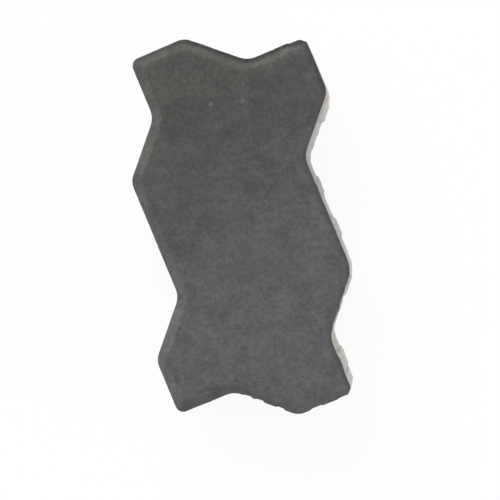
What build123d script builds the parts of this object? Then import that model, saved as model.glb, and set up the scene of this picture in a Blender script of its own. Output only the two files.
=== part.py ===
from build123d import *
from math import atan2, degrees
import os

# Zig-zag interlocking paving stone, pressed as one concrete solid that lies on its bed face.
# Millimetres. The origin is the middle of the bed face, +Z points up to the walking face,
# +Y runs along the stone and +X across it.

# Laying grid: the stone fills a row of square modules, less half a joint all round.
module = 112.5
modules_long = 2
joint = 3.0
thickness = 60.0

# Zig-zag: a module side goes out to a tooth at one third and in to a valley at two thirds,
# both by this much from the grid line.
tooth_offset = 9.8

# Upright edges of the walls.
corner_radius = 5.0
tooth_radius = 11.0
valley_radius = 14.0

# Bevel round the walking face, in plan and in height, with the face's own corners inside it.
bevel_width = 7.0
bevel_depth = 3.8
face_corner_radius = 3.0
face_tooth_radius = 7.0
face_valley_radius = 17.0

# Rolled edges of the bevel: the arris at the wall and the soft edge at the walking face.
arris_radius = 2.4
face_edge_radius = 5.0

# Spacer ribs that keep laid stones apart: one past every tooth, one past every valley and one
# past the middle of each long side. Each faces bare wall on the next stone and stops short of
# the grid line.
spacer_past_tooth = 11.5
spacer_past_valley = 17.5
spacer_past_middle = 8.7
spacer_width = 12.0
spacer_clearance = 0.3
spacer_below_face = 15.0
spacer_top_slope = 4.0
spacer_arris = 0.7

half_joint = joint / 2
half_width = module / 2
half_length = module * modules_long / 2
spacer_projection = half_joint - spacer_clearance
spacer_height = thickness - spacer_below_face

# The stone's corners on the grid, clockwise as seen from above.
stone_corners = [
    Vector(-half_width, half_length),
    Vector(half_width, half_length),
    Vector(half_width, -half_length),
    Vector(-half_width, -half_length),
]


def module_sides(start, end):
    """The module sides from one stone corner to the next, as pairs of end points."""
    along = (end - start).normalized()
    count = round((end - start).length / module)
    feet = [start + along * (module * i) for i in range(count + 1)]
    return list(zip(feet, feet[1:]))


def tooth_and_valley(start, end):
    """The zig-zag points of one module side, on the grid."""
    outward = (end - start).normalized().rotate(Axis.Z, 90) * tooth_offset
    third = (end - start) / 3
    return start + third + outward, end - third - outward


def round_off(sketch, points, radius):
    """Round the sketch's vertices that lie nearest to the given points."""
    picked = [
        min(sketch.vertices(), key=lambda vertex: (vertex.center() - point).length)
        for point in points
    ]
    return fillet(picked, radius)


def plan(inset, at_corner, at_tooth, at_valley):
    """The stone's outline, set in from the grid and with its corners rounded."""
    outline = make_face(Polyline(*zigzag, close=True))
    outline = offset(outline, -inset, kind=Kind.INTERSECTION)
    outline = round_off(outline, stone_corners, at_corner)
    outline = round_off(outline, teeth, at_tooth)
    return round_off(outline, valleys, at_valley)


def make_spacer():
    """One rib: +X out of the wall, from the bed up to its sloped top end."""
    section = Polyline(
        (-spacer_projection, 0),
        (spacer_projection, 0),
        (spacer_projection, spacer_height - spacer_top_slope),
        (0, spacer_height),
        (-spacer_projection, spacer_height),
        close=True,
    )
    rib = extrude(Plane.XZ * make_face(section), spacer_width / 2, both=True)
    front_edges = rib.edges().filter_by(Axis.Z).group_by(Axis.X)[-1]
    return chamfer(front_edges, spacer_arris)


def seat_spacer(spacer, start, end, distance):
    """Place a rib on the flank between two zig-zag points, at a distance past the first."""
    along = (end - start).normalized()
    outward = along.rotate(Axis.Z, 90)
    seat = start + along * distance - outward * half_joint
    return Pos(seat.X, seat.Y) * Rot(0, 0, degrees(atan2(outward.Y, outward.X))) * spacer


# Zig-zag on the grid with its teeth and valleys, and the ribs seated on its flanks.
zigzag = []
teeth = []
valleys = []
spacers = []
spacer = make_spacer()
for stone_corner, next_corner in zip(stone_corners, stone_corners[1:] + stone_corners[:1]):
    zigzag.append(stone_corner)
    for start, end in module_sides(stone_corner, next_corner):
        tooth, valley = tooth_and_valley(start, end)
        zigzag += [tooth, valley]
        teeth.append(tooth)
        valleys.append(valley)
        spacers.append(seat_spacer(spacer, tooth, valley, spacer_past_tooth))
        spacers.append(seat_spacer(spacer, valley, end, spacer_past_valley))
        if start != stone_corner:
            spacers.append(seat_spacer(spacer, start, tooth, spacer_past_middle))

wall_plan = plan(half_joint, corner_radius, tooth_radius, valley_radius)
face_inset = half_joint + bevel_width
face_plan = plan(face_inset, face_corner_radius, face_tooth_radius, face_valley_radius)

# Walls straight up from the bed, then the bevel lofted in to the walking face.
bevel_foot = thickness - bevel_depth
walls = extrude(wall_plan, bevel_foot)
bevel = loft([Pos(0, 0, bevel_foot) * wall_plan, Pos(0, 0, thickness) * face_plan], ruled=True)
stone = walls + bevel
arris = stone.edges().filter_by_position(Axis.Z, bevel_foot, bevel_foot)
stone = fillet(arris, arris_radius)
face_edge = stone.faces().sort_by(Axis.Z)[-1].edges()
stone = fillet(face_edge, face_edge_radius)
stone = stone + spacers

os.makedirs("parts", exist_ok=True)
export_step(stone.solid(), "parts/paving_stone.step")
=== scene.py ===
from math import cos, radians, sin
from types import SimpleNamespace

import bpy
from mathutils import Matrix, Vector


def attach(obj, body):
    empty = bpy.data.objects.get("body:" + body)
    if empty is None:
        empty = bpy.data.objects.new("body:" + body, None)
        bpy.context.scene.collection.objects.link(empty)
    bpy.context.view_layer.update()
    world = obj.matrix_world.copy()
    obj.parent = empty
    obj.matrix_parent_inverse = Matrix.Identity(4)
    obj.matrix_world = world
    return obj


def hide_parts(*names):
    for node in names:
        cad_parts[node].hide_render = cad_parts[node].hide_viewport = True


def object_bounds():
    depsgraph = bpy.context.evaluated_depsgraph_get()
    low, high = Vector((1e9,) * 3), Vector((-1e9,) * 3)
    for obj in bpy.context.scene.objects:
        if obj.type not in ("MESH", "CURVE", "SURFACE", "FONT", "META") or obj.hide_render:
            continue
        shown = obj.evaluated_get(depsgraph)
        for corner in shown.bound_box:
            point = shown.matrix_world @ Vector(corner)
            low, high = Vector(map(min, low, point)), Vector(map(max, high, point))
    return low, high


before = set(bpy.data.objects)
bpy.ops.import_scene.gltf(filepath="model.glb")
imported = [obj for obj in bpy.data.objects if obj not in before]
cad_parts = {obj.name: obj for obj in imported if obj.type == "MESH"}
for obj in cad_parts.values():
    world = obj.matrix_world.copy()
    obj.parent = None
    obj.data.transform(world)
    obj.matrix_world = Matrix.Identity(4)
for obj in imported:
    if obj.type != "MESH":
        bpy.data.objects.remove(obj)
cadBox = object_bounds()
scene = bpy.context.scene
mm = 0.001
print("frame loaded:", sorted(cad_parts))


# Node helpers shared by the form, the relief and the materials

def addNode(tree, kind, feeds=None, **settings):
    node = tree.nodes.new(kind)
    for name, value in settings.items():
        setattr(node, name, value)
    for socket, value in (feeds or {}).items():
        if isinstance(value, bpy.types.NodeSocket):
            tree.links.new(value, node.inputs[socket])
        else:
            node.inputs[socket].default_value = value
    return node


def nodeTools(tree):
    def math(operation, *values):
        feeds = dict(enumerate(values))
        return addNode(tree, "ShaderNodeMath", feeds, operation=operation).outputs[0]

    def plus(first, *others):
        for other in others:
            first = math("ADD", first, other)
        return first

    def minus(first, second):
        return math("SUBTRACT", first, second)

    def times(first, *others):
        for other in others:
            first = math("MULTIPLY", first, other)
        return first

    def dim(share, amount):
        # 1 where the share is 0, and less by the amount where it is 1
        return minus(1.0, times(share, amount))

    def band(value, low, high, toLow=0.0, toHigh=1.0):
        # a soft step from one value to the other between low and high
        feeds = {"Value": value, "From Min": low, "From Max": high,
                 "To Min": toLow, "To Max": toHigh}
        step = addNode(tree, "ShaderNodeMapRange", feeds, interpolation_type="SMOOTHSTEP")
        return step.outputs["Result"]

    def vector(operation, *values):
        feeds = dict(enumerate(values))
        if operation == "SCALE":
            feeds = {0: values[0], "Scale": values[1]}
        node = addNode(tree, "ShaderNodeVectorMath", feeds, operation=operation)
        return node.outputs["Value" if operation in ("DOT_PRODUCT", "LENGTH") else "Vector"]

    def apart(first, second):
        return vector("LENGTH", vector("SUBTRACT", first, second))

    def split(source):
        return addNode(tree, "ShaderNodeSeparateXYZ", {0: source}).outputs

    def join(x, y, z):
        return addNode(tree, "ShaderNodeCombineXYZ", {0: x, 1: y, 2: z}).outputs[0]

    def scaled(source, size):
        # a pattern whose features are about one size across; size is a number or a socket
        return vector("SCALE", source, math("DIVIDE", 1.0, size))

    def noise(source, size, detail=2.0, roughness=0.5):
        feeds = {"Vector": scaled(source, size), "Scale": 1.0,
                 "Detail": detail, "Roughness": roughness}
        return addNode(tree, "ShaderNodeTexNoise", feeds).outputs["Fac"]

    def wander(source, size, reach):
        # a vector that wanders on each axis, by half the reach either way
        feeds = {"Vector": scaled(source, size), "Scale": 1.0, "Detail": 1.0}
        colour = addNode(tree, "ShaderNodeTexNoise", feeds).outputs["Color"]
        return vector("SCALE", vector("SUBTRACT", colour, (0.5, 0.5, 0.5)), reach)

    def cells(source, size):
        feeds = {"Vector": scaled(source, size), "Scale": 1.0}
        node = addNode(tree, "ShaderNodeTexVoronoi", feeds)
        return node.outputs["Distance"], split(node.outputs["Color"])

    def blend(factor, first, second, how="MIX"):
        feeds = {0: factor, 6: first, 7: second}
        node = addNode(tree, "ShaderNodeMix", feeds, data_type="RGBA", blend_type=how)
        return node.outputs[2]

    def shaded(colour, tone):
        return blend(1.0, colour, join(tone, tone, tone), "MULTIPLY")

    return SimpleNamespace(math=math, plus=plus, minus=minus, times=times, dim=dim, band=band,
                           vector=vector, apart=apart, split=split, join=join, noise=noise,
                           wander=wander, cells=cells, blend=blend, shaded=shaded)


# Concrete: a charcoal face mix pressed over a paler grey body.
# X and Y are places on the stone, depth is counted down from the walking face, and a band is
# where a change starts and ends, with its two values where they aren't 0 and 1.

concreteLook = {
    "face": (0.0862, 0.0862, 0.0862, 1.0),
    "faceCool": (0.0875, 0.0881, 0.0915, 1.0),
    "faceOlive": (0.0890, 0.0888, 0.0835, 1.0),
    "faceWarm": (0.108, 0.083, 0.074, 1.0),
    "paleGrain": (0.18, 0.177, 0.17, 1.0),
    "body": (0.449, 0.447, 0.429, 1.0),
    "backBody": (0.985, 0.955, 0.962, 1.0),  # this and the next multiply the body's colour
    "frontBody": (1.12, 1.145, 1.08, 1.0),

    # patterns, and the tones that they give the two mixes
    "patterns": {  # size, detail and roughness
        "mottle": (3 * mm, 3.0, 0.65),
        "clouds": (11 * mm, 3.0, 0.55),
        "patches": (55 * mm, 2.0, 0.5),
        "fine": (0.7 * mm, 2.0, 0.6),
        "border": (14 * mm, 3.0, 0.5),
    },
    "sandSize": 1.1 * mm,
    "streak": (3.2 * mm, 3.0, 0.6),
    "streakStretch": 0.06,
    "worn": (0.05 * mm, 0.45 * mm),  # how far a place stands out of its surroundings
    "hollowShade": (-0.02 * mm, -0.25 * mm),
    "faceTones": {
        "mottle": (0.2, 0.8, 0.80, 1.20),
        "fine": (0.2, 0.8, 0.95, 1.05),
        "clouds": (0.25, 0.75, 0.85, 1.15),
        "sand": (0.0, 1.0, 0.93, 1.07),
    },
    "bodyTones": {
        "streak": (0.2, 0.8, 0.90, 1.09),
        "mottle": (0.2, 0.8, 0.86, 1.10),
        "clouds": (0.25, 0.75, 0.90, 1.08),
        "sand": (0.0, 1.0, 0.86, 1.08),
        # painted shade: darker in hollow places
        "hollowShade": (0.0, 1.0, 1.0, 0.72),
        # paler on outward edges, both as wear and as painted highlight
        "worn": (0.0, 1.0, 1.0, 1.08),
    },

    # tints and tones of the walking face
    "driftReach": 60 * mm,
    "coolSlope": 0.3,
    "coolBand": (-10 * mm, -75 * mm),
    "oliveSlope": 0.6,
    "oliveBand": (62 * mm, 86 * mm),
    "warmMiddle": 70 * mm,
    "warmAlong": (11 * mm, 5 * mm),
    "warmAcross": (46 * mm, 54 * mm),
    "warmDepth": (1.5 * mm, 3 * mm, 0.0, 0.5),
    # painted light: the face's paler front stands in for a falloff of the light
    "paintedFalloffSlope": 0.35,
    "paintedFalloff": (90 * mm, -70 * mm, 0.83, 1.14),
    "frontLeftY": (-80 * mm, -110 * mm),
    "frontLeftX": (45 * mm, -15 * mm),
    "frontLeftShade": 0.12,

    # tones of the bevel, with its painted highlight, and of its darker lower edge
    "bevelDepth": (0.05 * mm, 0.9 * mm),
    # painted highlight: how much paler the bevel is painted, from the back to the front
    "bevelHighlight": (60 * mm, -50 * mm, 1.27, 1.12),
    "rightShade": 0.3,
    "frontFacing": (-0.2, -0.45),
    "frontFacingX": (25 * mm, -10 * mm),
    "frontFacingShade": 0.1,
    # the lower edge is painted darker along the back end, and with painted shade where it faces
    # right
    "backDarkY": (78 * mm, 104 * mm),
    "backDarkX": (-50 * mm, 0.0, 0.6, 1.0),
    "backFacing": (0.3, 0.5),
    "rightWay": (0.8, 0.6, 0.0),  # to the right and a little back
    "rightPaintedShade": (0.25, 0.5, 0.0, 0.4),
    "darkEdgeDepth": (1.7 * mm, 3.3 * mm),
    "darkEdgeShade": 0.55,

    # single grains and spots, two of them painted highlights
    "markWander": (1.2 * mm, 1.5 * mm),  # size and reach
    "beadSize": 6 * mm,
    "beadChosen": (0.99, 0.995),
    "beadRim": (0.2, 0.06),
    "grainCore": 0.4,  # a grain's or spot's even middle, as a share of its reach
    "grainShare": 0.5,
    "grains": (  # X, Y and reach of the pale grains laid bare on the walking face
        (12.3 * mm, 76.6 * mm, 1.8 * mm),
        (-7.6 * mm, 77.1 * mm, 1.9 * mm),
        (-32.3 * mm, -77.8 * mm, 1.8 * mm),
    ),
    "spotCore": 0.3,
    "spotsAndHighlights": (  # X, Y, reach and tone of darker and paler spots
        (0.4 * mm, -73.4 * mm, 3 * mm, 0.82),
        (1.4 * mm, -101.6 * mm, 2.6 * mm, 0.82),
        (1 * mm, 58.4 * mm, 2.6 * mm, 0.82),
        (40.1 * mm, -69.9 * mm, 2.6 * mm, 0.82),
        (-8.6 * mm, -75.3 * mm, 2.6 * mm, 0.82),
        (15.7 * mm, -80.4 * mm, 2.6 * mm, 0.82),
        (50.4 * mm, 82 * mm, 2.6 * mm, 0.82),
        (-46.1 * mm, -72.9 * mm, 3 * mm, 0.82),
        # painted highlight: these two paler spots widen the bevel's highlight at the back right
        (44 * mm, 101 * mm, 9 * mm, 1.2),
        (35 * mm, 97 * mm, 8 * mm, 1.14),
        (-9 * mm, 74 * mm, 12 * mm, 0.92),
        (8 * mm, -82 * mm, 16 * mm, 1.1),
    ),

    # tones and tints of the walls
    # painted light: paler towards the foot and out on the teeth and corners
    "paintedFootLight": (20 * mm, 56 * mm, 1.0, 1.2),
    "outSlope": 0.15,
    "paintedOutLight": (58 * mm, 71 * mm, 0.98, 1.2),
    "onRight": (30 * mm, 40 * mm),
    "backBodyY": (53 * mm, 59 * mm),
    "frontBodyFrom": (-66 * mm, -73 * mm),
    "frontBodyTo": (-100 * mm, -76 * mm),

    # the uneven border between the two mixes
    "faceMixDepth": 7 * mm,
    "borderBlur": 0.5 * mm,
    "borderWave": 5 * mm,
    "runWander": (3 * mm, 7 * mm),  # size and reach
    "runs": (  # X, Y, reach and length of the face mix's runs down the wall
        (49.4 * mm, -92 * mm, 8 * mm, 7 * mm),
        (50.3 * mm, 17 * mm, 6 * mm, 4 * mm),
    ),

    "roughness": (0.2, 0.8, 0.84, 0.96),
    "specular": 0.35,
    "bumpStrength": 0.6,
    "bumpHeight": 0.25 * mm,
    "fineBump": 0.5,
}


def faceColour(t, look, spot, patterns, toned):
    # cooler to the front, olive at the back left and a reddish trace at the back right tooth
    drift = t.times(t.minus(patterns["patches"], 0.5), look["driftReach"])
    coolWay = t.plus(t.minus(spot.y, t.times(spot.x, look["coolSlope"])), drift)
    oliveWay = t.minus(t.plus(spot.y, drift), t.times(spot.x, look["oliveSlope"]))
    fromTooth = t.math("ABSOLUTE", t.minus(spot.y, look["warmMiddle"]))
    warm = t.times(t.band(fromTooth, *look["warmAlong"]), t.band(spot.x, *look["warmAcross"]),
                   t.band(spot.depth, *look["warmDepth"]))
    colour = t.blend(t.band(coolWay, *look["coolBand"]), look["face"], look["faceCool"])
    colour = t.blend(t.band(oliveWay, *look["oliveBand"]), colour, look["faceOlive"])
    colour = t.blend(warm, colour, look["faceWarm"])

    # painted light: the whole face is painted paler towards the front, less so at its left, for
    # a falloff of the light
    along = t.minus(spot.y, t.times(spot.x, look["paintedFalloffSlope"]))
    frontLeft = t.times(t.band(spot.y, *look["frontLeftY"]), t.band(spot.x, *look["frontLeftX"]))
    tone = t.times(toned("faceTones"), t.band(along, *look["paintedFalloff"]),
                   t.dim(frontLeft, look["frontLeftShade"]))

    # painted highlight: the bevel is painted paler, most at the back and left, and less where it
    # faces right or to the front
    facingX, facingY, _ = t.split(spot.facing)
    frontFacing = t.times(t.band(facingY, *look["frontFacing"]),
                          t.band(spot.x, *look["frontFacingX"]))
    paintedHighlight = t.times(t.band(spot.y, *look["bevelHighlight"]), t.dim(facingX, look["rightShade"]),
                   t.dim(frontFacing, look["frontFacingShade"]))
    tone = t.times(tone, t.band(spot.depth, *look["bevelDepth"], 1.0, paintedHighlight))

    # its lower edge is painted darker, most of all along the back end, and as painted shade
    # where it faces right
    backDark = t.times(t.band(spot.y, *look["backDarkY"]), t.band(spot.x, *look["backDarkX"]),
                       t.band(facingY, *look["backFacing"]))
    toRight = t.vector("DOT_PRODUCT", spot.facing, look["rightWay"])
    darkEdge = t.math("MAXIMUM", backDark, t.band(toRight, *look["rightPaintedShade"]))
    darkEdge = t.times(darkEdge, t.band(spot.depth, *look["darkEdgeDepth"]))
    tone = t.times(tone, t.dim(darkEdge, look["darkEdgeShade"]))

    # single grains and spots, two of them painted highlights, each with an uneven rim
    uneven = t.vector("ADD", spot.place, t.wander(spot.place, *look["markWander"]))
    beadDistance, beadTone = t.cells(spot.place, look["beadSize"])
    bare = t.times(t.band(beadTone[1], *look["beadChosen"]),
                   t.band(beadDistance, *look["beadRim"]))
    for x, y, reach in look["grains"]:
        grain = t.band(t.apart(uneven, (x, y, spot.top)), reach, look["grainCore"] * reach,
                       0.0, look["grainShare"])
        bare = t.math("MAXIMUM", bare, grain)
    for x, y, reach, spotTone in look["spotsAndHighlights"]:
        mark = t.band(t.apart(uneven, (x, y, spot.top)), reach, look["spotCore"] * reach,
                      1.0, spotTone)
        tone = t.times(tone, mark)
    return t.blend(bare, t.shaded(colour, tone), look["paleGrain"])


def bodyColour(t, look, spot, toned):
    # painted light: walls are painted paler towards the foot, as bounce light from the floor,
    # and out on the teeth and corners, with painted shade left in the valleys
    wayOut = t.plus(t.math("ABSOLUTE", spot.x),
                    t.times(t.math("ABSOLUTE", spot.y), look["outSlope"]))
    tone = t.times(toned("bodyTones"), t.band(spot.depth, *look["paintedFootLight"]),
                   t.band(wayOut, *look["paintedOutLight"]))
    colour = t.shaded(look["body"], tone)

    # redder at the back right tooth, paler and greener in the front right valley
    onRight = t.band(spot.x, *look["onRight"])
    back = t.times(t.band(spot.y, *look["backBodyY"]), onRight)
    front = t.times(t.band(spot.y, *look["frontBodyFrom"]),
                    t.band(spot.y, *look["frontBodyTo"]), onRight)
    colour = t.blend(back, colour, look["backBody"], "MULTIPLY")
    return t.blend(front, colour, look["frontBody"], "MULTIPLY")


def faceMixShare(t, look, spot, patterns):
    depth = t.minus(spot.depth, t.times(t.minus(patterns["border"], 0.5), look["borderWave"]))
    smeared = t.vector("ADD", spot.place, t.wander(spot.place, *look["runWander"]))
    smearX, smearY, _ = t.split(smeared)
    for x, y, reach, length in look["runs"]:
        away = t.apart(t.join(smearX, smearY, 0.0), (x, y, 0.0))
        depth = t.minus(depth, t.band(away, reach, 0.0, 0.0, length))
    return t.band(depth, look["faceMixDepth"] + look["borderBlur"],
                  look["faceMixDepth"] - look["borderBlur"])


def makeConcrete(look):
    material = bpy.data.materials.new("pressedConcrete")
    material.use_nodes = True
    tree = material.node_tree
    tree.nodes.clear()
    t = nodeTools(tree)
    surface = addNode(tree, "ShaderNodeTexCoord").outputs
    place, top = surface["Object"], cadBox[1].z
    x, y, z = t.split(place)
    spot = SimpleNamespace(place=place, facing=surface["Normal"], x=x, y=y,
                           depth=t.minus(top, z), top=top)

    # patterns that both mixes share, and what the relief says of worn places, painted paler as
    # wear and highlight, and of hollow places, painted darker as shade
    patterns = {name: t.noise(place, *sizes) for name, sizes in look["patterns"].items()}
    stretched = t.join(x, y, t.times(z, look["streakStretch"]))
    patterns["streak"] = t.noise(stretched, *look["streak"])
    patterns["sand"] = t.cells(place, look["sandSize"])[1][0]
    stand = addNode(tree, "ShaderNodeAttribute", attribute_name="stand").outputs["Fac"]
    patterns["worn"] = t.band(stand, *look["worn"])
    patterns["hollowShade"] = t.band(stand, *look["hollowShade"])

    def toned(which):
        return t.times(*(t.band(patterns[name], *tones) for name, tones in look[which].items()))

    face = faceColour(t, look, spot, patterns, toned)
    body = bodyColour(t, look, spot, toned)
    colour = t.blend(faceMixShare(t, look, spot, patterns), body, face)
    height = t.plus(t.times(patterns["fine"], look["fineBump"]), patterns["mottle"])
    bump = addNode(tree, "ShaderNodeBump", {
        "Height": height, "Strength": look["bumpStrength"], "Distance": look["bumpHeight"]})
    shader = addNode(tree, "ShaderNodeBsdfPrincipled", {
        "Base Color": colour, "Roughness": t.band(patterns["fine"], *look["roughness"]),
        "Normal": bump.outputs[0], "Specular IOR Level": look["specular"]})
    addNode(tree, "ShaderNodeOutputMaterial", {"Surface": shader.outputs[0]})
    return material


# Form: the mould's rule, a zig-zag on a square module with a bevelled face and spacer ribs

formSizes = {
    "Module": 112.5 * mm,
    "Modules Long": 2,
    "Joint": 3 * mm,
    "Thickness": 60 * mm,
    "Tooth Offset": 9.8 * mm,
    "Corner Radius": 5 * mm,
    "Tooth Radius": 11 * mm,
    "Valley Radius": 14 * mm,
    "Bevel Width": 7 * mm,
    "Bevel Depth": 3.8 * mm,
    "Face Corner Radius": 3 * mm,
    "Face Tooth Radius": 7 * mm,
    "Face Valley Radius": 17 * mm,
    "Arris Radius": 2.4 * mm,
    "Face Edge Radius": 5 * mm,
    "Face Rim": 1.25,  # in bevel widths: where the bevel's skin ends on the level face
    "Rib Past Tooth": 11.5 * mm,
    "Rib Past Valley": 17.5 * mm,
    "Rib Past Middle": 8.7 * mm,
    "Rib Width": 12 * mm,
    "Rib Height": 45 * mm,
    "Rib Slope": 4 * mm,
    "Rib Arris": 0.7 * mm,
    "Rib Clearance": 0.3 * mm,
    "Arc Steps": 8,
    "Weld Distance": 0.002 * mm,
}


def startTree(name, sizes):
    tree = bpy.data.node_groups.new(name, "GeometryNodeTree")
    tree.interface.new_socket("Stone", in_out="INPUT", socket_type="NodeSocketGeometry")
    for label, size in sizes.items():
        kind = "NodeSocketInt" if isinstance(size, int) else "NodeSocketFloat"
        socket = tree.interface.new_socket(label, in_out="INPUT", socket_type=kind)
        socket.default_value = size
    tree.interface.new_socket("Stone", in_out="OUTPUT", socket_type="NodeSocketGeometry")
    return tree, nodeTools(tree), addNode(tree, "NodeGroupInput").outputs


def endTree(tree, geometry, material):
    smooth = addNode(tree, "GeometryNodeSetShadeSmooth", {"Geometry": geometry})
    real = addNode(tree, "GeometryNodeRealizeInstances", {"Geometry": smooth.outputs[0]})
    finished = addNode(tree, "GeometryNodeSetMaterial", {
        "Geometry": real.outputs[0], "Material": material})
    addNode(tree, "NodeGroupOutput", {0: finished.outputs[0]})
    return tree


def makeFormTree(material):
    tree, t, sizes = startTree("stoneForm", formSizes)
    here = addNode(tree, "GeometryNodeInputPosition").outputs[0]
    index = addNode(tree, "GeometryNodeInputIndex").outputs[0]

    def isAt(value, number):
        # 1 where the value is this whole number
        return t.math("COMPARE", value, float(number), 0.1)

    def pointOf(geometry, at):
        feeds = {"Geometry": geometry, "Value": here, "Index": at}
        node = addNode(tree, "GeometryNodeSampleIndex", feeds, data_type="FLOAT_VECTOR")
        return node.outputs[0]

    def move(geometry, place):
        feeds = {"Geometry": geometry, "Position": place}
        return addNode(tree, "GeometryNodeSetPosition", feeds).outputs[0]

    def fillet(curve, radius):
        feeds = {"Curve": curve, "Radius": radius, "Count": sizes["Arc Steps"]}
        return addNode(tree, "GeometryNodeFilletCurve", feeds, mode="POLY").outputs[0]

    def turned(direction):
        # a quarter turn to the left, seen from above
        x, y, _ = t.split(direction)
        return t.join(t.times(y, -1.0), x, 0.0)

    def direction(start, end):
        return t.vector("NORMALIZE", t.vector("SUBTRACT", end, start))

    # Three points to a module side: foot, valley and tooth, counterclockwise
    pointsPerSide = 3
    module, length = sizes["Module"], t.times(sizes["Module"], sizes["Modules Long"])
    halfJoint = t.times(sizes["Joint"], 0.5)
    count = t.times(t.plus(sizes["Modules Long"], 1.0), 2.0 * pointsPerSide)
    frameCurve = addNode(tree, "GeometryNodeCurvePrimitiveQuadrilateral", {
        "Width": module, "Height": length})
    thirds = addNode(tree, "GeometryNodeResampleCurve", {
        "Curve": frameCurve.outputs[0], "Count": count})
    third = t.math("FLOORED_MODULO", index, float(pointsPerSide))
    isFoot, isValley, isTooth = isAt(third, 0), isAt(third, 1), isAt(third, 2)
    tangent = addNode(tree, "GeometryNodeInputTangent").outputs[0]
    outward = t.vector("SCALE", turned(tangent), t.minus(isValley, isTooth))
    shifted = t.vector("ADD", here, t.vector("SCALE", outward, sizes["Tooth Offset"]))
    zigzag = move(thirds.outputs[0], shifted)

    def nextPoint(step):
        return pointOf(zigzag, t.math("FLOORED_MODULO", t.plus(index, float(step)), count))

    def outline(inset, atCorner, atTooth, atValley):
        # the zig-zag set in with mitred corners, then rounded
        inBefore = turned(direction(nextPoint(-1), nextPoint(0)))
        inAfter = turned(direction(nextPoint(0), nextPoint(1)))
        spread = t.plus(t.vector("DOT_PRODUCT", inBefore, inAfter), 1.0)
        mitre = t.vector("SCALE", t.vector("ADD", inBefore, inAfter),
                         t.math("DIVIDE", inset, spread))
        radius = t.plus(t.times(atCorner, isFoot), t.times(atTooth, isTooth),
                        t.times(atValley, isValley))
        return fillet(move(zigzag, t.vector("ADD", here, mitre)), radius)

    wallPlan = outline(halfJoint, sizes["Corner Radius"], sizes["Tooth Radius"],
                       sizes["Valley Radius"])
    facePlan = outline(t.plus(halfJoint, sizes["Bevel Width"]), sizes["Face Corner Radius"],
                       sizes["Face Tooth Radius"], sizes["Face Valley Radius"])

    # Section up the wall, over the arris, up the bevel and a little way in over the face:
    # X is the way in, Z the height
    line = addNode(tree, "GeometryNodeCurvePrimitiveLine").outputs[0]
    fourPoints = addNode(tree, "GeometryNodeResampleCurve", {"Curve": line, "Count": 4})
    atFoot, atFace, atEnd = isAt(index, 1), isAt(index, 2), isAt(index, 3)
    bevelFoot = t.minus(sizes["Thickness"], sizes["Bevel Depth"])
    faceRim = t.times(sizes["Bevel Width"], sizes["Face Rim"])
    inwards = t.plus(t.times(sizes["Bevel Width"], atFace), t.times(faceRim, atEnd))
    height = t.plus(t.times(bevelFoot, atFoot),
                    t.times(sizes["Thickness"], t.plus(atFace, atEnd)))
    rounding = t.plus(t.times(sizes["Arris Radius"], atFoot),
                      t.times(sizes["Face Edge Radius"], atFace))
    section = fillet(move(fourPoints.outputs[0], t.join(inwards, 0.0, height)), rounding)

    # Skin: every section point carried round the outline, between the wall's plan and the
    # face's; each of the section's two roundings and two ends gives a row of the grid
    arcPoints = t.plus(sizes["Arc Steps"], 1.0)
    around = t.times(count, arcPoints)
    upwards = t.plus(t.times(arcPoints, 2.0), 2.0)
    grid = addNode(tree, "GeometryNodeMeshGrid", {
        "Vertices X": t.plus(around, 1.0), "Vertices Y": upwards}).outputs[0]
    column = t.math("FLOOR", t.math("DIVIDE", index, upwards))
    row = t.minus(index, t.times(column, upwards))
    column = t.math("FLOORED_MODULO", column, around)

    def between(at, wayIn):
        start, end = pointOf(wallPlan, at), pointOf(facePlan, at)
        share = t.math("DIVIDE", wayIn, sizes["Bevel Width"])
        inward = t.vector("SCALE", t.vector("SUBTRACT", end, start), share)
        return t.vector("ADD", start, inward)

    sectionX, _, sectionZ = t.split(pointOf(section, row))
    onSkin = t.vector("ADD", between(column, sectionX), t.join(0.0, 0.0, sectionZ))
    skin = move(grid, onSkin)

    bed = addNode(tree, "GeometryNodeFillCurve", {0: wallPlan}).outputs[0]
    rim = move(wallPlan, between(index, faceRim))
    face = addNode(tree, "GeometryNodeFillCurve", {0: rim}).outputs[0]
    face = addNode(tree, "GeometryNodeTransform", {
        "Geometry": face, "Translation": t.join(0.0, 0.0, sizes["Thickness"])}).outputs[0]

    # Rib: a block with three points across and four along the wall, moved to its section
    proud = t.minus(halfJoint, sizes["Rib Clearance"])
    block = addNode(tree, "GeometryNodeMeshCube", {
        "Size": t.join(t.times(proud, 2.0), sizes["Rib Width"], sizes["Rib Height"]),
        "Vertices X": 3, "Vertices Y": 4}).outputs[0]
    blockX, blockY, blockZ = t.split(here)
    outer = t.math("GREATER_THAN", blockX, t.times(proud, 0.5))
    atSide = t.math("GREATER_THAN", t.math("ABSOLUTE", blockY), t.times(sizes["Rib Width"], 0.4))
    upper = t.math("GREATER_THAN", blockZ, 0.0)
    ribX = t.minus(blockX, t.times(outer, atSide, sizes["Rib Arris"]))
    halfRib = t.minus(t.times(sizes["Rib Width"], 0.5),
                      t.times(t.minus(1.0, atSide), sizes["Rib Arris"]))
    ribY = t.times(t.math("SIGN", blockY), halfRib)
    drop = t.times(t.math("DIVIDE", ribX, proud), sizes["Rib Slope"])
    ribZ = t.plus(blockZ, t.times(sizes["Rib Height"], 0.5))
    ribZ = t.minus(ribZ, t.times(outer, upper, drop))
    rib = move(block, t.join(ribX, ribY, ribZ))

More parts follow.
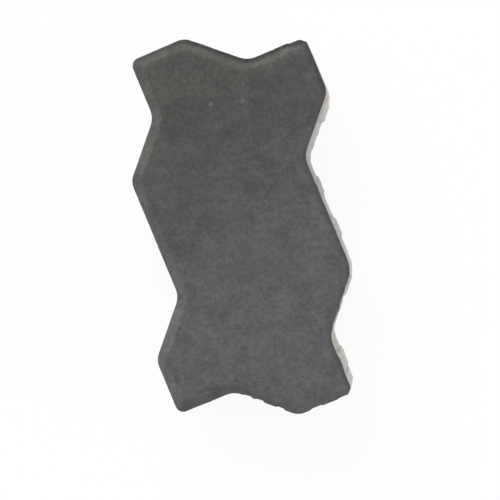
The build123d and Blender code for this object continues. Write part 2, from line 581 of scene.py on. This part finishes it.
    # Ribs past every tooth, every valley and the middle of each long side
    _, footY, _ = t.split(nextPoint(0))
    cornerY = t.times(t.minus(length, module), 0.5)
    onSide = t.math("LESS_THAN", t.math("ABSOLUTE", footY), cornerY)
    isMiddle = t.times(isFoot, onSide)
    past = t.plus(t.times(sizes["Rib Past Tooth"], isTooth),
                  t.times(sizes["Rib Past Valley"], isValley),
                  t.times(sizes["Rib Past Middle"], isMiddle))
    along = direction(nextPoint(0), nextPoint(-1))
    away = turned(along)
    seat = t.vector("ADD", nextPoint(0), t.vector("SCALE", along, past))
    seat = t.vector("SUBTRACT", seat, t.vector("SCALE", away, halfJoint))
    awayX, awayY, _ = t.split(away)
    ribs = addNode(tree, "GeometryNodeInstanceOnPoints", {
        "Points": move(zigzag, seat), "Instance": rib,
        "Selection": t.math("MAXIMUM", t.math("MAXIMUM", isTooth, isValley), isMiddle),
        "Rotation": t.join(0.0, 0.0, t.math("ARCTAN2", awayY, awayX))}).outputs[0]

    shell = addNode(tree, "GeometryNodeJoinGeometry")
    for part in (skin, bed, face):
        tree.links.new(part, shell.inputs[0])
    closed = addNode(tree, "GeometryNodeMergeByDistance", {
        0: shell.outputs[0], "Distance": sizes["Weld Distance"]}).outputs[0]
    whole = addNode(tree, "GeometryNodeJoinGeometry")
    for part in (closed, ribs):
        tree.links.new(part, whole.inputs[0])
    return endTree(tree, whole.outputs[0], material)


# Relief: what pressing, stripping and handling leave on the skin

reliefSizes = {
    "Wave Height": 0.25 * mm,
    "Wave Size": 28 * mm,
    "Grain Height": 0.14 * mm,
    "Grain Size": 2.4 * mm,
    "Pit Depth": 0.45 * mm,
    "Pit Size": 7 * mm,
    "Edge Wear": 0.3 * mm,
    "Edge Wear Size": 4 * mm,
    "Chip Depth": 1.2 * mm,
    "Chip Size": 9 * mm,
    "Drag Depth": 0.1 * mm,
    "Drag Width": 2.8 * mm,
    "Stone Height": 0.28 * mm,
    "Stone Size": 4.2 * mm,
    "Void Depth": 1.0 * mm,
    "Void Size": 5.5 * mm,
    "Seed": 7,
}

reliefShape = {
    "seedStep": 0.37,
    "pitChosen": (0.70, 0.72),  # bands, as in the concrete's look; cell distances are in cells
    "pitBowl": (0.20, 0.05),
    "wallSlope": (0.6, 0.3),
    "coarse": (3.0, 0.6),  # detail and roughness of the drawn lines and the worn edges
    "dragStretch": 0.07,
    "bodyDepth": (6 * mm, 12 * mm),
    "bodyWander": (6 * mm, 3 * mm),  # size and reach
    "stoneRound": (0.15, 0.75),
    "voidMouth": (0.1, 0.22),  # the least reach of a void, and how much more it may have
    "voidRim": (1.0, 0.5),
    "voidChosen": (0.60, 0.61),
    "averaging": 10,  # rounds of blurring that find the averaged shape
    "sharpEdge": (0.1 * mm, 0.7 * mm),
    "wearNoise": (0.3, 0.75),
    "biteChosen": (-60 * mm, -105 * mm, 0.82, 0.62),
    "biteRim": (0.45, 0.2, 0.0, 0.7),
    "biteEdge": (0.04 * mm, 0.16 * mm),
    "chipWander": (2.5 * mm, 2 * mm),  # size and reach
    "chipCore": 0.5,
    "chipMiddle": 6 * mm,  # below the walking face
    "chips": (  # X, Y, reach along and down the wall, and share of the full depth
        (55 * mm, 111 * mm, 4.5 * mm, 9 * mm, 0.75),
        (49.5 * mm, 109.5 * mm, 6.8 * mm, 14 * mm, 0.65),
        (61 * mm, -41 * mm, 11 * mm, 150 * mm, 0.9),
        (56.5 * mm, -50 * mm, 11 * mm, 150 * mm, 0.7),
        (50 * mm, -64.5 * mm, 7 * mm, 14 * mm, 0.5),
        (55 * mm, -111.5 * mm, 4.5 * mm, 9 * mm, 0.5),
        (48 * mm, -114 * mm, 4 * mm, 8 * mm, 0.4),
        (31 * mm, -117.5 * mm, 5 * mm, 10 * mm, 0.55),
        (8 * mm, -115.5 * mm, 3.6 * mm, 7 * mm, 0.6),
        (-4 * mm, -109.5 * mm, 3.6 * mm, 7 * mm, 0.65),
        (-11 * mm, -106 * mm, 3.6 * mm, 7 * mm, 0.5),
    ),
}


def makeReliefTree(material, shape):
    tree, t, sizes = startTree("concreteRelief", reliefSizes)
    here = addNode(tree, "GeometryNodeInputPosition").outputs[0]
    normal = addNode(tree, "GeometryNodeInputNormal").outputs["Normal"]
    shift = t.times(sizes["Seed"], shape["seedStep"])
    place = t.vector("ADD", here, t.join(shift, shift, 0.0))
    _, hereY, hereZ = t.split(here)
    top = cadBox[1].z

    wave = t.times(t.noise(place, sizes["Wave Size"], 1.0), sizes["Wave Height"])
    grain = t.times(t.noise(place, sizes["Grain Size"], 2.0), sizes["Grain Height"])
    pitDistance, pitTone = t.cells(place, sizes["Pit Size"])
    pits = t.times(t.band(pitDistance, *shape["pitBowl"]),
                   t.band(pitTone[0], *shape["pitChosen"]), sizes["Pit Depth"])

    # Upright skins carry the marks of the mould being drawn off
    _, _, up = t.split(normal)
    wall = t.band(t.math("ABSOLUTE", up), *shape["wallSlope"])
    placeX, placeY, placeZ = t.split(place)
    drawn = t.join(placeX, placeY, t.times(placeZ, shape["dragStretch"]))
    lines = t.noise(drawn, sizes["Drag Width"], *shape["coarse"])
    drag = t.times(lines, sizes["Drag Depth"], wall)

    # The dry body mix shows its stones, and voids where the fines did not close round them
    body = t.times(t.band(t.minus(top, hereZ), *shape["bodyDepth"]), wall)
    warped = t.vector("ADD", place, t.wander(place, *shape["bodyWander"]))
    stoneDistance, _ = t.cells(warped, sizes["Stone Size"])
    stones = t.times(t.band(stoneDistance, *shape["stoneRound"]), sizes["Stone Height"], body)
    voidDistance, voidTone = t.cells(warped, sizes["Void Size"])
    leastMouth, moreMouth = shape["voidMouth"]
    mouth = t.plus(t.times(voidTone[1], moreMouth), leastMouth)
    voids = t.times(t.band(t.math("DIVIDE", voidDistance, mouth), *shape["voidRim"]),
                    t.band(voidTone[0], *shape["voidChosen"]), body, sizes["Void Depth"])

    # Outward edges stand clear of the averaged shape round them, and wear
    averaged = addNode(tree, "GeometryNodeBlurAttribute", {
        "Value": here, "Iterations": shape["averaging"]}, data_type="FLOAT_VECTOR")
    outward = t.vector("DOT_PRODUCT", t.vector("SUBTRACT", here, averaged.outputs[0]), normal)
    worn = t.noise(place, sizes["Edge Wear Size"], *shape["coarse"])
    wear = t.times(t.band(worn, *shape["wearNoise"]), t.band(outward, *shape["sharpEdge"]),
                   sizes["Edge Wear"])

    # They are chipped at random, most at the front end, and in the places of this stone's own
    biteDistance, biteTone = t.cells(warped, sizes["Chip Size"])
    bitten = t.math("GREATER_THAN", biteTone[2], t.band(hereY, *shape["biteChosen"]))
    chips = t.times(t.band(biteDistance, *shape["biteRim"]), bitten,
                    t.band(outward, *shape["biteEdge"]))
    ragged = t.vector("ADD", here, t.wander(place, *shape["chipWander"]))
    for x, y, size, drop, share in shape["chips"]:
        away = t.vector("SUBTRACT", ragged, (x, y, top - shape["chipMiddle"]))
        reach = t.vector("LENGTH", t.vector("MULTIPLY", away, (1.0, 1.0, size / drop)))
        chip = t.band(reach, size, shape["chipCore"] * size, 0.0, share)
        chips = t.math("MAXIMUM", chips, chip)
    chips = t.times(chips, sizes["Chip Depth"])

    # Walls stand half in and half out of the mould's line, level faces only inwards
    depth = t.plus(wave, grain, pits, drag, stones, voids, wear, chips)
    onWall = t.plus(sizes["Wave Height"], sizes["Grain Height"], sizes["Drag Depth"])
    middle = t.plus(t.times(onWall, wall), t.times(sizes["Stone Height"], body))
    depth = t.minus(depth, t.times(middle, 0.5))
    moved = addNode(tree, "GeometryNodeSetPosition", {
        "Geometry": sizes["Stone"], "Offset": t.vector("SCALE", normal, t.times(depth, -1.0))})

    # How far each point stands out of its surroundings, for the material's worn and highlighted
    # edges and the painted shade in its hollows
    marked = addNode(tree, "GeometryNodeStoreNamedAttribute", {
        "Geometry": moved.outputs[0], "Name": "stand", "Value": outward})
    return endTree(tree, marked.outputs[0], material)


# Stone: the form, given an even skin and then its relief

stoneSkin = {
    "voxel": 0.75 * mm,
    "triangles": 190000,
}


def addTree(piece, name, tree, sizes):
    modifier = piece.modifiers.new(name, "NODES")
    modifier.node_group = tree
    for item in tree.interface.items_tree:
        if item.in_out == "INPUT" and item.name in sizes:
            modifier[item.identifier] = sizes[item.name]


def evaluated(piece):
    graph = bpy.context.evaluated_depsgraph_get()
    return bpy.data.meshes.new_from_object(piece.evaluated_get(graph), depsgraph=graph)


def makeStone(material, look):
    blank = bpy.data.objects.new("stoneBlank", bpy.data.meshes.new("stoneBlank"))
    scene.collection.objects.link(blank)
    addTree(blank, "form", makeFormTree(material), formSizes)
    even = blank.modifiers.new("evenSkin", "REMESH")
    even.mode = "VOXEL"
    even.voxel_size = look["voxel"]
    addTree(blank, "relief", makeReliefTree(material, reliefShape), reliefSizes)

    dense = evaluated(blank)
    print("even skin:", len(dense.polygons), "faces")
    thin = blank.modifiers.new("thinSkin", "DECIMATE")
    thin.ratio = look["triangles"] / (2 * len(dense.polygons))  # each face is two triangles
    bpy.data.meshes.remove(dense)
    skin = evaluated(blank)
    bpy.data.objects.remove(blank)

    for vertex in skin.vertices:
        vertex.co = [min(max(value, lowest), highest)
                     for value, lowest, highest in zip(vertex.co, *cadBox)]
    skin.name = "pavingStone"
    stone = bpy.data.objects.new("pavingStone", skin)
    scene.collection.objects.link(stone)
    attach(stone, "root")
    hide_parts("paving_stone")
    print("stone:", len(skin.polygons), "faces")


# Studio: pale floor, a soft key light from the back, a fill from the right and a pale room

studio = {
    "floorSize": 6.0,
    "floorTone": 0.95,
    "floorGlow": 0.9,
    "key": {"strength": 1.667, "angle": 50, "elevation": 36, "heading": -16.9},
    "fill": {"strength": 0.9, "angle": 70, "elevation": 18, "heading": 115},
    "roomStrength": 0.6,
}


def backgroundRays(t, tree):
    rays = addNode(tree, "ShaderNodeLightPath").outputs
    direct = t.math("MAXIMUM", rays["Is Camera Ray"], rays["Is Glossy Ray"])
    return t.math("MAXIMUM", direct, rays["Is Transmission Ray"])


def makeFloor(look):
    bpy.ops.mesh.primitive_plane_add(size=look["floorSize"])
    floor = bpy.context.object
    floor.name = "studioFloor"
    material = bpy.data.materials.new("studioFloor")
    material.use_nodes = True
    tree = material.node_tree
    tree.nodes.clear()
    t = nodeTools(tree)
    paper = addNode(tree, "ShaderNodeBsdfDiffuse", {"Color": (look["floorTone"],) * 3 + (1.0,)})
    glow = addNode(tree, "ShaderNodeEmission", {"Strength": 1.0})
    share = t.times(backgroundRays(t, tree), look["floorGlow"])
    mixed = addNode(tree, "ShaderNodeMixShader", {
        0: share, 1: paper.outputs[0], 2: glow.outputs[0]})
    addNode(tree, "ShaderNodeOutputMaterial", {"Surface": mixed.outputs[0]})
    floor.data.materials.append(material)


def makeSun(name, look):
    sun = bpy.data.objects.new(name, bpy.data.lights.new(name, "SUN"))
    sun.data.energy = look["strength"]
    sun.data.angle = radians(look["angle"])
    heading, elevation = radians(look["heading"]), radians(look["elevation"])
    toLight = Vector((sin(heading) * cos(elevation), cos(heading) * cos(elevation),
                      sin(elevation)))
    sun.rotation_mode = "QUATERNION"
    sun.rotation_quaternion = toLight.to_track_quat("Z", "Y")
    scene.collection.objects.link(sun)


def makeLight(look):
    makeSun("softKey", look["key"])
    makeSun("softFill", look["fill"])
    room = bpy.data.worlds.new("paleRoom")
    room.use_nodes = True
    tree = room.node_tree
    tree.nodes.clear()
    t = nodeTools(tree)
    strength = t.band(backgroundRays(t, tree), 0.0, 1.0, look["roomStrength"], 1.0)
    back = addNode(tree, "ShaderNodeBackground", {
        "Color": (1.0, 1.0, 1.0, 1.0), "Strength": strength})
    addNode(tree, "ShaderNodeOutputWorld", {"Surface": back.outputs[0]})
    scene.world = room


# Camera: high above the stone's right side, looking almost straight down, turned a little

cameraView = {
    "eye": (91.5 * mm, -1.7 * mm, 921.2 * mm),
    "aim": (4 * mm, -15 * mm, 60 * mm),
    "turn": 8.08,
    "lens": 101.2,
}


def makeCamera(look):
    camera = bpy.data.objects.new("camera", bpy.data.cameras.new("camera"))
    camera.data.lens = look["lens"]
    eye, aim, turn = Vector(look["eye"]), Vector(look["aim"]), radians(look["turn"])
    back = (eye - aim).normalized()
    across = Vector((sin(turn), cos(turn), 0)).cross(back).normalized()
    axes = Matrix((across, back.cross(across), back)).transposed()
    camera.matrix_world = Matrix.Translation(eye) @ axes.to_4x4()
    scene.collection.objects.link(camera)
    scene.camera = camera


makeCamera(cameraView)
makeFloor(studio)
makeLight(studio)
print("camera, floor and light are set")
makeStone(makeConcrete(concreteLook), stoneSkin)
scene.view_settings.view_transform = "Standard"
